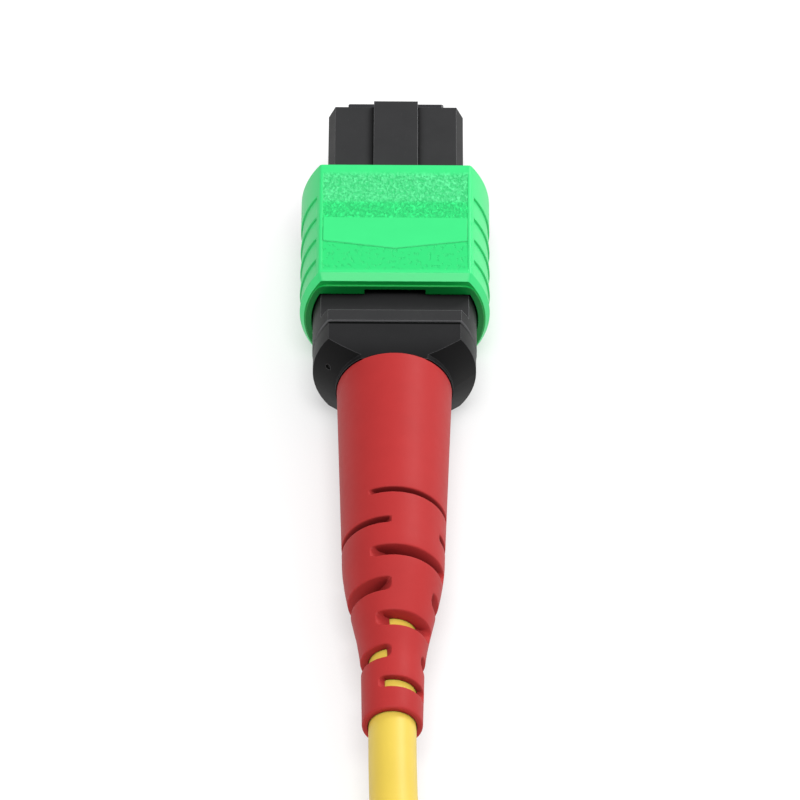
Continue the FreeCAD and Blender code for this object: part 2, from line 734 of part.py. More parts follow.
# ---- write the sub-parts ----
def save(name, shape):
    """Lift the shape from the connector's axis to the resting frame and export it."""
    solid = shape.copy()
    solid.translate(Vector(0, 0, axis_height))
    if solid.ShapeType != "Solid" and len(solid.Solids) == 1:
        solid = solid.Solids[0]
    print(f"{name}: {len(solid.Solids)} solid, valid {solid.isValid()}, {solid.Volume:.2f} mm3")
    solid.exportStep(f"parts/{name}.step")


def main():
    os.makedirs("parts", exist_ok=True)
    save("outer_sleeve", outer_sleeve())
    save("inner_housing", inner_housing())
    save("ferrule", ferrule())
    save("ferrule_boot", ferrule_boot())
    save("ferrule_spacer", ferrule_spacer())
    save("fibre_ribbon", fibre_ribbon())
    save("main_spring", main_spring())
    save("sleeve_spring_left", sleeve_spring(-1))
    save("sleeve_spring_right", sleeve_spring(1))
    save("spring_push", spring_push())
    save("aramid_yarn", aramid_yarn())
    save("crimp_sleeve", crimp_sleeve())
    save("strain_boot", strain_boot())
    save("cable_jacket", cable_jacket())
    save("cable_lead", cable_lead())
    save("cable_hank", cable_hank())
    save("hank_tie_right", hank_tie(1))
    save("hank_tie_left", hank_tie(-1))


main()
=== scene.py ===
"""Multi-fibre push-pull connector on its cable pigtail: shapes, finishes, camera and light.

Lengths are in metres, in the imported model's frame: +Y towards the mating face, +Z up.
"""
import json
import math

import bmesh
import bpy
from mathutils import Euler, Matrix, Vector

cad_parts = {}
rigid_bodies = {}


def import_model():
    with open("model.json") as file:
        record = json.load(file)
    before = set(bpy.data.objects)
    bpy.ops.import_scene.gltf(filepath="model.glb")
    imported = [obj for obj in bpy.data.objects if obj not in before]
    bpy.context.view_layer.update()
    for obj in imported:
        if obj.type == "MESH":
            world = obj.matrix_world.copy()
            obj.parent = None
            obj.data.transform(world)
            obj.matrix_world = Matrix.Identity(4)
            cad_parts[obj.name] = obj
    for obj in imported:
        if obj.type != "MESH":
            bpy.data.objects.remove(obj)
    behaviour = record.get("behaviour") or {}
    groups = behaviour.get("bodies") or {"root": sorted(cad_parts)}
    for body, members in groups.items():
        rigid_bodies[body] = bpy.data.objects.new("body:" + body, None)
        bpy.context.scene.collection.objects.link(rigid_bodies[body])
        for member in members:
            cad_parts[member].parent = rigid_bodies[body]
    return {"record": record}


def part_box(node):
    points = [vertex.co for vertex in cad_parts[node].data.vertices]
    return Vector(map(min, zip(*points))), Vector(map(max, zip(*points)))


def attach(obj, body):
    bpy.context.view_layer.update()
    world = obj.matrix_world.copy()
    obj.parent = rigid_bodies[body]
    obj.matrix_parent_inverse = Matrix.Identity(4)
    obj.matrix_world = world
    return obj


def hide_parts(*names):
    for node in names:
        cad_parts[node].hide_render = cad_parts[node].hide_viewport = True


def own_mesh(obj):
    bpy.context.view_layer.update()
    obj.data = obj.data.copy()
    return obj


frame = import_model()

bl_info = {
    "name": "Multi-fibre connector",
    "version": (1, 0, 0),
    "blender": (4, 5, 0),
    "location": "3D View > Sidebar > Connector",
    "description": "Builds the connector's pieces and finishes on the packed model",
    "category": "Object",
}

MM = 0.001
TAU = 2 * math.pi
FINE = 0.02 * MM  # distance in which a sharp edge turns
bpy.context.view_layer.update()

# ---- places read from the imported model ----
sleeve_low, sleeve_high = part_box("outer_sleeve")
boot_low, boot_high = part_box("strain_boot")
jacket_low, jacket_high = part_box("cable_jacket")
hank_low, hank_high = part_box("cable_hank")
axis_height = (sleeve_low.z + sleeve_high.z) / 2
sleeve_radius = (sleeve_high.x - sleeve_low.x) / 2
sleeve_half = (sleeve_high.z - sleeve_low.z) / 2
sleeve_front = sleeve_high.y
ring_rear = sleeve_low.y
boot_root = boot_high.y
boot_end = boot_low.y
cable_radius = (jacket_high.x - jacket_low.x) / 2
seam_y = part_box("inner_housing")[0].y


def linear(red, green, blue):
    """A colour given in a screen's levels from 0 to 255, as linear light."""
    parts = [value / 255 for value in (red, green, blue)]
    return tuple(v / 12.92 if v < 0.04045 else ((v + 0.055) / 1.055) ** 2.4 for v in parts)


# ---- settings that a user would change ----
def length(name, text, value):
    return bpy.props.FloatProperty(name=name, description=text, default=value, unit="LENGTH", precision=5)


def fraction(name, text, value):
    return bpy.props.FloatProperty(name=name, description=text, default=value, subtype="FACTOR", min=0, max=1)


def angle(name, text, degrees):
    return bpy.props.FloatProperty(name=name, description=text, default=math.radians(degrees), subtype="ANGLE")


def colour(name, text, value):
    return bpy.props.FloatVectorProperty(name=name, description=text, default=value, subtype="COLOR",
                                         size=3, min=0, max=1)


class SleeveSizes(bpy.types.PropertyGroup):
    """Sizes of the coupling sleeve's own forms."""
    wall: length("Side wall", "Wall between the round side and the hollow", 0.78 * MM)
    opening_half: length("Opening", "Half height of the hollow", 2.43 * MM)
    front_half: length("Front opening", "Half height of the hollow ahead of its shoulder", 2.70 * MM)
    shoulder_set_back: length("Shoulder", "Inner shoulder behind the front rim", 2.52 * MM)
    keyway_width: length("Keyway width", "Width of the groove over the key", 4.0 * MM)
    keyway_top: length("Keyway top", "Height of that groove above the axis", 2.85 * MM)
    front_edge: length("Front edge", "Rounding of the front rim", 0.12 * MM)
    bevel_length: length("Bevel length", "Sloping band round the rear rim", 0.52 * MM)
    bevel_height: length("Bevel height", "Fall of that band", 0.3 * MM)
    ring_proud: length("Ring", "How far the inner ring stands out of the rear rim", 0.12 * MM)
    ring_half: length("Ring height", "Half height of that ring", 3.15 * MM)
    ring_wall: length("Ring wall", "Side wall of that ring", 0.4 * MM)
    corner: length("Corner", "Softening where flat top and round side meet", 0.1 * MM)
    panel_recess: length("Panel depth", "How far the grained panel is sunk", 0.06 * MM)
    panel_half: length("Panel width", "Half width of the grained panel", 4.8 * MM)
    panel_front: length("Panel front", "Plain band ahead of the panel", 0.7 * MM)
    panel_rear: length("Panel rear", "Plain band behind the panel", 0.68 * MM)
    plate_set_back: length("Plate", "Raised plate behind the front rim", 5.0 * MM)
    plate_length: length("Plate length", "Length of the plate at its sides", 2.15 * MM)
    plate_point: length("Plate point", "How far the plate's rear edge runs to a point", 0.69 * MM)
    plate_half: length("Plate width", "Half width of the plate", 4.75 * MM)
    grip_pitch: length("Grip pitch", "Distance from grip to grip", 1.93 * MM)
    grip_depth: length("Grip depth", "Height of each grip's step", 0.12 * MM)
    grip_inset: length("Grip inset", "The grips start this far to each side", 5.2 * MM)
    grip_set_back: length("First grip", "First grip behind the front rim", 2.8 * MM)
    grip_count: bpy.props.IntProperty(name="Grips", description="Grips on each side", default=4)


class BootSizes(bpy.types.PropertyGroup):
    """Sizes of the bend-relief boot."""
    root_radius: length("Root radius", "Radius at the root", 3.74 * MM)
    shank_radius: length("Shank radius", "Radius at the end of the thick stretch", 3.27 * MM)
    shank_length: length("Shank length", "Length of the thick stretch", 14.8 * MM)
    neck_radius: length("Neck radius", "Radius where the taper ends", 1.98 * MM)
    neck_length: length("Taper length", "Length of the taper", 9.9 * MM)
    end_radius: length("End radius", "Radius at the mouth", 1.9 * MM)
    bore_radius: length("Bore radius", "Radius of the bore", 1.55 * MM)
    slot_first: length("First slot", "First row of slots behind the root", 11.6 * MM)
    slot_pitch: length("Slot pitch", "Distance from row to row", 2.47 * MM)
    slot_half_angle: angle("Slot arc", "Half of the arc that a slot opens", 58)
    slot_turn: angle("Slot lean", "Lean of the first row from the vertical", 30)
    edge: length("Edge", "Softening of the slots' edges", 0.09 * MM)


class CordSizes(bpy.types.PropertyGroup):
    """The free cable and its hank."""
    fold_radius: length("Fold radius", "Of a fold, at the middle of the rows", 10.5 * MM)
    free_length: length("Free length", "Cable from the boot's mouth to its cut end", 0.92)
    turns: bpy.props.IntProperty(name="Turns", description="Turns in the hank, the last not whole", default=6)
    last_share: fraction("Last turn", "Share of the last turn that there is cable for", 0.786)
    step_from: fraction("Step from", "Share of a turn at which the highest turn steps over", 0.64)
    step_share: fraction("Step", "Share of a turn that a step takes", 0.12)


class CameraSetting(bpy.types.PropertyGroup):
    """Where the connector is seen from."""
    distance: length("Distance", "From the lens to the sleeve's front", 0.45)
    elevation: angle("Elevation", "Of the lens above the sleeve's front", 45.0)
    tilt: angle("Tilt", "How much further down the lens points", 1.66)
    turn: angle("Turn", "Of the lens about the vertical", -0.071)
    roll: angle("Roll", "Of the camera about its line of sight", 0.38)
    lens: bpy.props.FloatProperty(name="Lens", description="Focal length", default=303.75, unit="CAMERA")


class FinishColours(bpy.types.PropertyGroup):
    """Base colours of the finishes."""
    sleeve: colour("Sleeve", "Coupling sleeve", linear(64, 230, 133))
    sleeve_panel: colour("Sleeve panel", "Grained panel", linear(49, 220, 122))
    # Painted shade: the rear rim and ring face away from the lights and take this dark colour.
    rim: colour("Rear rim", "Rim and ring at the sleeve's rear", linear(8, 134, 56))
    # Partly painted highlight: the flecks are grain, and their whitish tone stands for glints.
    fleck_and_glint: colour("Flecks", "Light flecks of the panel's front", linear(102, 252, 164))
    housing: colour("Housing", "Inner housing", linear(56, 56, 57))
    rear_body: colour("Rear body", "Rear body behind the seam", linear(42, 42, 43))
    boot: colour("Boot", "Bend-relief boot", linear(186, 55, 55))
    jacket: colour("Jacket", "Cable jacket", linear(236, 206, 84))
    ferrule: colour("Ferrule", "Ferrule's filled resin", linear(44, 44, 47))
    steel: colour("Spring steel", "Springs", linear(200, 200, 204))
    brass: colour("Crimp", "Plated crimp", linear(214, 208, 196))
    yarn: colour("Yarn", "Aramid yarn", linear(226, 198, 112))
    tie: colour("Tie", "Woven coil ties", linear(40, 40, 43))
    floor: colour("Floor", "Floor", linear(250, 250, 250))


# ---- shader building ----
class Value:
    """A number that varies over a surface. Arithmetic on it adds Math nodes."""

    def __init__(self, finish, socket):
        self.finish = finish
        self.socket = socket

    def maths(self, operation, *operands):
        return self.finish.node("Math", {"operation": operation}, dict(enumerate(operands)))

    def __add__(self, other):
        return self.maths("ADD", self, other)

    def __sub__(self, other):
        return self.maths("SUBTRACT", self, other)

    def __rsub__(self, other):
        return self.maths("SUBTRACT", other, self)

    def __mul__(self, other):
        return self.maths("MULTIPLY", self, other)

    def __truediv__(self, other):
        return self.maths("DIVIDE", self, other)

    def __rtruediv__(self, other):
        return self.maths("DIVIDE", other, self)

    def __abs__(self):
        return self.maths("ABSOLUTE", self)

    __radd__ = __add__
    __rmul__ = __mul__

    def sine(self):
        return self.maths("SINE", self)

    def ramp(self, low, high):
        """0 below low, 1 above high, and smooth between them."""
        return self.finish.node("MapRange", {"interpolation_type": "SMOOTHSTEP"},
                                {"Value": self, "From Min": low, "From Max": high})


class Finish:
    """One procedural material: a Principled shader and the nodes that feed it."""

    def __init__(self, name, colour, roughness, **constants):
        self.material = bpy.data.materials.new(name)
        self.material.use_nodes = True
        self.tree = self.material.node_tree
        self.shader = self.tree.nodes["Principled BSDF"]
        self.shader.inputs["Base Color"].default_value = (*colour, 1)
        self.shader.inputs["Roughness"].default_value = roughness
        for socket, value in constants.items():
            self.shader.inputs[socket.replace("_", " ").title().replace("Ior", "IOR")].default_value = value
        self.place = self.node("TexCoord", {}, {}, "Object")

    def node(self, kind, settings, inputs, output=0):
        """Adds a node of one kind, first its settings, then its sockets. Gives one of its outputs."""
        made = self.tree.nodes.new("ShaderNode" + kind)
        for key, value in settings.items():
            setattr(made, key, value)
        for key, value in inputs.items():
            if isinstance(value, Value):
                self.tree.links.new(value.socket, made.inputs[key])
            else:
                made.inputs[key].default_value = value
        return Value(self, made.outputs[output])

    def feed(self, socket, value):
        self.tree.links.new(value.socket, self.shader.inputs[socket])

    def mix(self, factor, first, second):
        """A colour between two colours, which are tuples or Values."""
        ends = {6: first, 7: second}
        ends = {key: end if isinstance(end, Value) else (*end, 1) for key, end in ends.items()}
        return self.node("Mix", {"data_type": "RGBA"}, {0: factor, **ends}, 2)

    def shades(self, factor, colour, low, high):
        """The colour times one factor to the colour times another."""
        return self.mix(factor, shade(colour, low), shade(colour, high))

    def paint(self, factor, first, second):
        self.feed("Base Color", self.mix(factor, first, second))

    def stretched(self, across, along, up):
        return self.node("VectorMath", {"operation": "MULTIPLY"}, {0: self.place, 1: (across, along, up)})

    def noise(self, size, detail=2.0, roughness=0.5, place=None):
        """Noise from 0 to 1 whose patches are about this size."""
        inputs = {"Vector": place or self.place, "Scale": 1 / size, "Detail": detail, "Roughness": roughness}
        return self.node("TexNoise", {}, inputs)

    def cells(self, size, place):
        """Distance to the middle of the nearest cell, smoothed, for cells of about this size."""
        return self.node("TexVoronoi", {"feature": "SMOOTH_F1"}, {"Vector": place, "Scale": 1 / size})

    def part(self, axis):
        """One coordinate of the place, in metres."""
        return self.node("SeparateXYZ", {}, {0: self.place}, axis)

    def facing(self, axis):
        """One coordinate of the surface's own normal."""
        surface = self.node("NewGeometry", {}, {}, "Normal")
        return self.node("SeparateXYZ", {}, {0: surface}, axis)

    def rounding(self, radius):
        """The normal of a surface whose edges are rounded, and how much of an edge each place is."""
        rounded = self.node("Bevel", {"samples": 8}, {"Radius": radius})
        surface = self.node("NewGeometry", {}, {}, "Normal")
        likeness = self.node("VectorMath", {"operation": "DOT_PRODUCT"}, {0: rounded, 1: surface}, "Value")
        return rounded, (1 - likeness).ramp(0.01, 0.16)

    def openness(self, reach):
        """1 in the open and less in a crease or joint; the finishes paint shade and shadow with it."""
        return self.node("AmbientOcclusion", {"samples": 12}, {"Distance": reach}, "AO")

    def attribute(self, name):
        return self.node("Attribute", {"attribute_name": name}, {}, "Fac")

    def bumps(self, *layers, over=None):
        """Layers of (height from 0 to 1, depth in metres), each on top of the one before."""
        normal = over
        for height, depth in layers:
            inputs = {"Height": height, "Distance": depth}
            if normal:
                inputs["Normal"] = normal
            normal = self.node("Bump", {}, inputs)
        self.feed("Normal", normal)


def shade(colour, factor):
    """The colour made lighter or darker."""
    return tuple(min(1.0, channel * factor) for channel in colour)


def sleeve_finish(colours):
    """Moulded polyester with a pitted panel: coarse ahead of the plate, sparse behind it.
    Its light flecks are partly painted highlights, and painted shade darkens the grips' steps and the rear rim and
    ring.
    """
    sizes = bpy.context.scene.connector_sleeve
    green, panel = colours.sleeve, colours.sleeve_panel
    finish = Finish("sleeve green", green, 0.42, specular_ior_level=0.22)
    pitted = finish.attribute("pitted")
    behind = sleeve_front - finish.part(1)
    band = behind.ramp(3.2 * MM, 3.7 * MM)
    past_plate = behind.ramp(sizes.plate_set_back + 0.5 * MM, sizes.plate_set_back + 1.0 * MM)
    cloud = finish.noise(2.2 * MM, 3)
    place = finish.stretched(1.35, 1.0, 1.0)
    flecks = finish.noise(0.22 * MM, 4, 0.6, place).ramp(0.38, 0.62)
    craters = finish.cells(0.30 * MM, place).ramp(0.25, 0.6)
    coarse = flecks * 0.7 + craters * 0.4
    sparse = finish.noise(0.36 * MM, 3, 0.55, place).ramp(0.55, 0.68)
    grain = coarse * (1 - past_plate) + (0.15 + 0.4 * sparse) * past_plate
    # The light grain tones are partly painted highlights, whiter than the moulding.
    light = finish.mix(band, colours.fleck_and_glint, finish.shades(past_plate, panel, 1.38, 1.02))
    dark = finish.mix(band, shade(green, 0.92), shade(panel, 0.96))
    skinned = finish.mix(pitted, finish.shades(cloud, green, 0.96, 1.04), finish.mix(grain, light, dark))
    # Painted shade: a dark line along each grip's step.
    grip_shaded = finish.mix(finish.attribute("grip_shade") * 0.5, skinned, shade(panel, 0.3))
    # Painted shade: the rear rim's face and the ring behind it are painted dark.
    past_rim = ring_rear + sizes.ring_proud + FINE - finish.part(1)
    rear_shaded = finish.mix(past_rim.ramp(0.0, FINE), grip_shaded, shade(colours.rim, 1.8))
    finish.paint(past_rim.ramp(0.1 * MM, 0.14 * MM), rear_shaded, colours.rim)
    finish.feed("Roughness", 0.38 + 0.1 * pitted + 0.06 * cloud)
    rounded, _ = finish.rounding(0.05 * MM)
    finish.bumps((finish.noise(0.06 * MM, 2), 0.0012 * MM), ((1 - grain) * pitted, 0.07 * MM), over=rounded)


def housing_finish(name, tone, seam, joint_line_and_highlight, shadow_from, shadow_over):
    """Glass-filled black resin, satin, with a fine moulded skin, painted highlights on its edges, painted shade in
    its creases and on faces that turn sideways or down, a line at the joint of the two bodies (a painted highlight
    on the housing, a dark joint line on the rear body), and a painted shadow over a stretch of its length."""
    finish = Finish(name, tone, 0.42, specular_ior_level=0.08)
    along = finish.part(1)
    cloud = finish.noise(1.6 * MM, 4, 0.6)
    fibre = finish.noise(0.10 * MM, 2, 0.5, finish.stretched(1.0, 0.28, 1.0))
    rounded, edge = finish.rounding(0.07 * MM)
    # Painted shade: creases and joints are painted darker.
    free_of_painted_shade = finish.openness(0.7 * MM).ramp(0.45, 0.95)
    flecked = finish.mix(fibre.ramp(0.62, 0.78) * 0.25, finish.shades(cloud, tone, 0.9, 1.12), shade(tone, 1.6))
    # Painted shadow: a stretch of the body is painted darker, deepening from its start, but not ahead of the
    # sleeve's front.
    painted_shadow = ((along - shadow_from) / shadow_over).ramp(0, 1) * (sleeve_front - along).ramp(0, 0.1 * MM)
    shadowed = finish.mix(painted_shadow * 0.6, flecked, shade(tone, 0.2))
    # Painted shade: faces that turn sideways or down are painted darker.
    side_shaded = finish.mix(finish.facing(2).ramp(0.3, 0.97), shade(tone, 0.3), shadowed)
    # Painted highlight: the rounded edges are painted lighter.
    edge_highlit = finish.mix(edge, side_shaded, shade(tone, 5.0))
    # At the joint: a light line of painted highlight on the housing, a dark joint line on the rear body.
    joined = finish.mix((abs(along - seam) / (0.1 * MM)).ramp(0.7, 1.3), shade(tone, joint_line_and_highlight), edge_highlit)
    finish.paint(free_of_painted_shade, shade(tone, 0.12), joined)
    finish.feed("Roughness", 0.38 + 0.12 * cloud)
    finish.bumps((finish.noise(0.07 * MM, 3), 0.002 * MM), over=rounded)


def boot_finish(colours):
    """Soft moulded elastomer with faint flow marks, and painted shade in its slots and creases."""
    finish = Finish("boot red", colours.boot, 0.5, specular_ior_level=0.1)
    cloud = finish.noise(2.5 * MM, 3, 0.55)
    # Painted shade: slots and creases are painted darker.
    free_of_painted_shade = finish.openness(1.0 * MM).ramp(0.3, 0.9)
    finish.paint(free_of_painted_shade, shade(colours.boot, 0.42), finish.shades(cloud, colours.boot, 0.92, 1.07))
    finish.feed("Roughness", 0.44 + 0.12 * finish.noise(0.5 * MM, 2))
    finish.bumps((finish.noise(0.09 * MM, 3, 0.6), 0.0035 * MM), (cloud, 0.006 * MM))


def jacket_finish(colours):
    """Extruded cable jacket with fine drawing marks, painted shade in its creases and where it meets other parts,
    and at the cut end the yarn and the fibres inside it.
    """
    finish = Finish("jacket yellow", colours.jacket, 0.46, specular_ior_level=0.45)
    cloud = finish.noise(3.0 * MM, 3, 0.55)
    # Painted shade: creases and places against other parts are painted darker.
    free_of_painted_shade = finish.openness(0.6 * MM).ramp(0.3, 0.85)
    skin = finish.mix(free_of_painted_shade, shade(colours.jacket, 0.55), finish.shades(cloud, colours.jacket, 0.93, 1.06))
    cut_end = hank_points(bpy.context.scene.connector_cord)[-1]
    from_core = finish.node("VectorMath", {"operation": "DISTANCE"}, {0: finish.place, 1: cut_end}, "Value")
    outward = from_core / cable_radius
    strands = finish.shades(finish.noise(0.15 * MM, 2).ramp(0.35, 0.65), colours.yarn, 0.45, 1.0)
    core = finish.mix(outward.ramp(0.28, 0.34), linear(210, 222, 226), strands)
    finish.paint(outward.ramp(0.64, 0.68), core, skin)
    finish.feed("Roughness", 0.42 + 0.1 * finish.noise(0.8 * MM, 2))
    finish.bumps((finish.noise(0.12 * MM, 3, 0.6), 0.004 * MM))


def ferrule_finish(colours):
    """Filled resin, ground and polished at its face."""
    finish = Finish("ferrule resin", colours.ferrule, 0.32, specular_ior_level=0.5)
    specks = finish.noise(0.05 * MM, 3, 0.65)
    finish.paint(specks.ramp(0.45, 0.7), colours.ferrule, shade(colours.ferrule, 1.9))
    finish.feed("Roughness", 0.26 + 0.16 * specks)
    finish.bumps((specks, 0.0015 * MM))


def rubber_finish(name, tone):
    """Plain dark rubber or resin of an inner piece."""
    finish = Finish(name, tone, 0.6)
    cloud = finish.noise(0.8 * MM, 3)
    finish.paint(cloud, shade(tone, 0.85), shade(tone, 1.15))
    finish.bumps((finish.noise(0.08 * MM, 2), 0.003 * MM))


def glass_finish():
    """Coated glass fibres side by side in a ribbon."""
    finish = Finish("fibre coating", linear(190, 210, 218), 0.2)
    stripes = (finish.part(0) * (TAU / (0.25 * MM))).sine() * 0.5 + 0.5
    finish.paint(stripes, linear(150, 178, 190), linear(226, 236, 240))
    finish.bumps((stripes, 0.02 * MM))


def metal_finish(name, tone, roughness):
    """Drawn or plated metal with fine scratches round it."""
    finish = Finish(name, tone, roughness, metallic=1.0)
    scratches = finish.noise(0.05 * MM, 3, 0.6, finish.stretched(0.2, 1.0, 0.2))
    finish.paint(scratches, shade(tone, 0.85), shade(tone, 1.1))
    finish.feed("Roughness", roughness - 0.06 + 0.16 * scratches)
    finish.bumps((scratches, 0.002 * MM))


def yarn_finish(colours):
    """Straw-coloured yarn laid along the cable."""
    finish = Finish("aramid yarn", colours.yarn, 0.55, sheen_weight=0.3)
    threads = finish.noise(0.06 * MM, 2, 0.5, finish.stretched(1.0, 0.06, 1.0))
    finish.paint(threads, shade(colours.yarn, 0.6), shade(colours.yarn, 1.15))
    finish.bumps((threads, 0.02 * MM))


def tie_finish(colours):
    """Woven hook-and-loop tape."""
    finish = Finish("tie black", colours.tie, 0.8, sheen_weight=0.4)
    warp, weft = ((finish.attribute(way) * (TAU / (0.5 * MM))).sine() for way in ("along", "across"))
    cloth = (warp * weft) * 0.5 + 0.5
    fuzz = finish.noise(0.12 * MM, 3, 0.6)
    finish.paint(cloth * 0.6 + fuzz * 0.4, shade(colours.tie, 0.5), shade(colours.tie, 1.8))
    finish.bumps((cloth, 0.06 * MM), (fuzz, 0.03 * MM))


def floor_finish(colours):
    """Pale matt sheet of a light table, which glows a little; its glow is painted darker near the pieces as their
    shadow.
    """
    lit = shade(colours.floor, 0.32)
    finish = Finish("floor sheet", lit, 0.9, specular_ior_level=0.05, emission_strength=0.78)
    finish.paint(finish.noise(40 * MM, 2), shade(lit, 0.995), lit)
    # Painted shadow: the glow is dimmer where the pieces hem the floor in.
    free_of_painted_shadow = finish.openness(11 * MM).ramp(0.2, 1.0)
    finish.feed("Emission Color", finish.mix(free_of_painted_shadow, (0.66, 0.66, 0.66), (1.0, 1.0, 1.0)))
    return finish.material


def finishes():
    """The pieces' finishes by their names, made once."""
    if not bpy.data.materials.get("sleeve green"):
        colours = bpy.context.scene.connector_colours
        sleeve_finish(colours)
        # The fourth value paints the housing's seam line lighter as a highlight and the rear body's darker as a
        # joint line; the last two place a painted shadow.
        housing_finish("housing black", colours.housing, seam_y, 3.4, seam_y + 1.0 * MM, 2.3 * MM)
        housing_finish("rear body black", colours.rear_body, seam_y - 0.14 * MM, 0.02, seam_y - 0.9 * MM, -2.8 * MM)
        boot_finish(colours)
        jacket_finish(colours)
        ferrule_finish(colours)
        rubber_finish("soft rubber", linear(56, 56, 60))
        rubber_finish("spacer resin", linear(70, 70, 74))
        glass_finish()
        metal_finish("spring steel", colours.steel, 0.28)
        metal_finish("crimp metal", colours.brass, 0.34)
        yarn_finish(colours)
        tie_finish(colours)
    return bpy.data.materials


def finish_of(node):
    """The finish of a piece that stands for a CAD node, and the node's material slot."""
    slot = next(row["material_slot"] for row in frame["record"]["subparts"] if row["node"] == node)
    other_names = {"aramid": "aramid yarn"}
    name = "rear body black" if node == "spring_push" else other_names.get(slot, slot.replace("_", " "))
    return finishes()[name], slot


# ---- mesh building ----
def add_object(name, data):
    made = bpy.data.objects.new(name, data)
    bpy.context.scene.collection.objects.link(made)
    return made


def piece(name, form, body, *nodes, sharp=35):
    """Makes an object of a mesh or curve, with its finish, on its body, in place of the CAD nodes it stands for."""
    material, slot = finish_of(nodes[0])
    if isinstance(form, bmesh.types.BMesh):
        bmesh.ops.remove_doubles(form, verts=form.verts, dist=0.0005 * MM)
        bmesh.ops.recalc_face_normals(form, faces=form.faces)
        data = bpy.data.meshes.new(name)
        form.to_mesh(data)
        form.free()
        data.shade_smooth()
        data.set_sharp_from_angle(angle=math.radians(sharp))
    else:
        data = form
    made = add_object(name, data)
    data.materials.append(material)
    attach(made, body)
    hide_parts(*nodes)
    return made


def lay_between(mesh, first, second):
    """The faces between two closed rows of as many points each."""
    count = len(first)
    for index in range(count):
        ahead = (index + 1) % count
        mesh.faces.new((first[index], first[ahead], second[ahead], second[index]))


def lay_grid(mesh, loops):
    """Adds closed loops of as many points each and the faces between each loop and the next."""
    rows = [[mesh.verts.new(point) for point in loop] for loop in loops]
    for row, after in zip(rows, rows[1:]):
        lay_between(mesh, row, after)
    return rows


def fill_between(mesh, *rows):
    """Fills the flat face that the closed rows bound."""
    edges = []
    for row in rows:
        for point, after in zip(row, row[1:] + row[:1]):
            edges.append(mesh.edges.get((point, after)) or mesh.edges.new((point, after)))
    bmesh.ops.triangle_fill(mesh, edges=edges, use_beauty=True, use_dissolve=False)


def smooth(share):
    """0 below 0, 1 above 1, and an even curve between them."""
    share = min(1.0, max(0.0, share))
    return share * share * (3 - 2 * share)


def polar(radius, turn):
    """The two coordinates of a point at a radius and a turn."""
    return radius * math.cos(turn), radius * math.sin(turn)


def rim_inset(from_end, rounding):
    """How far a rounded rim has drawn in at a distance from its end."""
    share = max(0.0, 1 - from_end / rounding)
    return rounding * (1 - math.sqrt(max(0.0, 1 - share * share)))


# ---- coupling sleeve ----
PANEL_FRONT_FALL = 0.4 * MM
PANEL_REAR_FALL = 0.3 * MM


def flat_bar_ring(radius, half, corner, flat_shares, round_angles):
    """Points (x, z) once round a round bar with a flat top and bottom and softened corners.

    flat_shares run from -1 to 1 across the flat, round_angles are shares of the side's half arc.
    """
    half_chord = math.sqrt(radius * radius - half * half)
    flat_end = half_chord - corner
    arc_start = math.asin(half / radius) - corner / radius
    bend_start, peak, bend_end = map(Vector, ((flat_end, half), (half_chord, half), polar(radius, arc_start)))
    bend = [bend_start * (1 - step) ** 2 + peak * 2 * step * (1 - step) + bend_end * step ** 2
            for step in (0.25, 0.5, 0.75)]
    quarter = [Vector((share * flat_end, half)) for share in flat_shares] + bend
    quarter += [Vector(polar(radius, share * arc_start)) for share in round_angles]
    quarter += [Vector((point.x, -point.y)) for point in reversed(bend)]
    return quarter + [-point for point in quarter]


def sleeve_columns(sizes):
    """Where the sleeve's columns stand: shares of its flat and of its round side."""
    flat_count, side_count = 12, 16
    flat_end = math.sqrt(sleeve_radius ** 2 - sleeve_half ** 2) - sizes.corner
    marks = (sizes.panel_half - 4 * FINE, sizes.panel_half, sizes.plate_half - FINE, sizes.plate_half)
    marks = sorted(set(round(mark / flat_end, 5) for mark in marks))
    right = [index / flat_count * (marks[0] - 0.02) for index in range(flat_count + 1)] + marks + [0.993]
    arc = math.asin(sleeve_half / sleeve_radius) - sizes.corner / sleeve_radius
    grip = math.acos(sizes.grip_inset / sleeve_radius) / arc
    upper = [index / side_count * (grip - 0.03) for index in range(side_count + 1)]
    upper += [grip - 0.01, grip + 0.01, grip + 0.05, 1.0]
    return [-share for share in reversed(right[1:])] + right, upper[::-1] + [-share for share in upper[1:]]


def sleeve_marks(sizes):
    """Distances behind the front rim of the plate's rear edge, the sloping band and the rear rim."""
    total = sleeve_front - ring_rear - sizes.ring_proud
    return sizes.plate_set_back + sizes.plate_length, total - sizes.bevel_length, total


def sleeve_stations(sizes):
    """Distances behind the front rim at which the sleeve has a row, with how far each follows the plate's point."""
    plate_rear, bevel, total = sleeve_marks(sizes)
    panel_end = total - sizes.panel_rear
    across = [0.0, sizes.front_edge, bevel - FINE, bevel, bevel + FINE, total,
              sizes.plate_set_back, sizes.plate_set_back + FINE,
              sizes.panel_front, sizes.panel_front + PANEL_FRONT_FALL / 2, sizes.panel_front + PANEL_FRONT_FALL,
              panel_end - PANEL_REAR_FALL, panel_end - PANEL_REAR_FALL / 2, panel_end]
    for index in range(sizes.grip_count + 1):
        grip = sizes.grip_set_back + index * sizes.grip_pitch
        if grip < bevel:
            across += [grip, grip + FINE, grip + 5 * FINE]
    marks = sorted({**dict.fromkeys(across, 0), plate_rear - FINE: 1, plate_rear: 1}.items())
    stations = []
    for (here, follow), (after, _) in zip(marks, marks[1:]):
        stations.append((here, follow))
        count = int((after - here) / (0.45 * MM))
        stations += [(here + (after - here) * index / (count + 1), 0) for index in range(1, count + 1)]
    return stations + [marks[-1]]


def grip_drop(behind, sizes):
    """How deep the grips' saw teeth are at a distance behind the front rim."""
    into = behind - sizes.grip_set_back - FINE / 2
    if into <= 0:
        return 0.0
    return sizes.grip_depth * (1 - (into / sizes.grip_pitch) % 1.0)


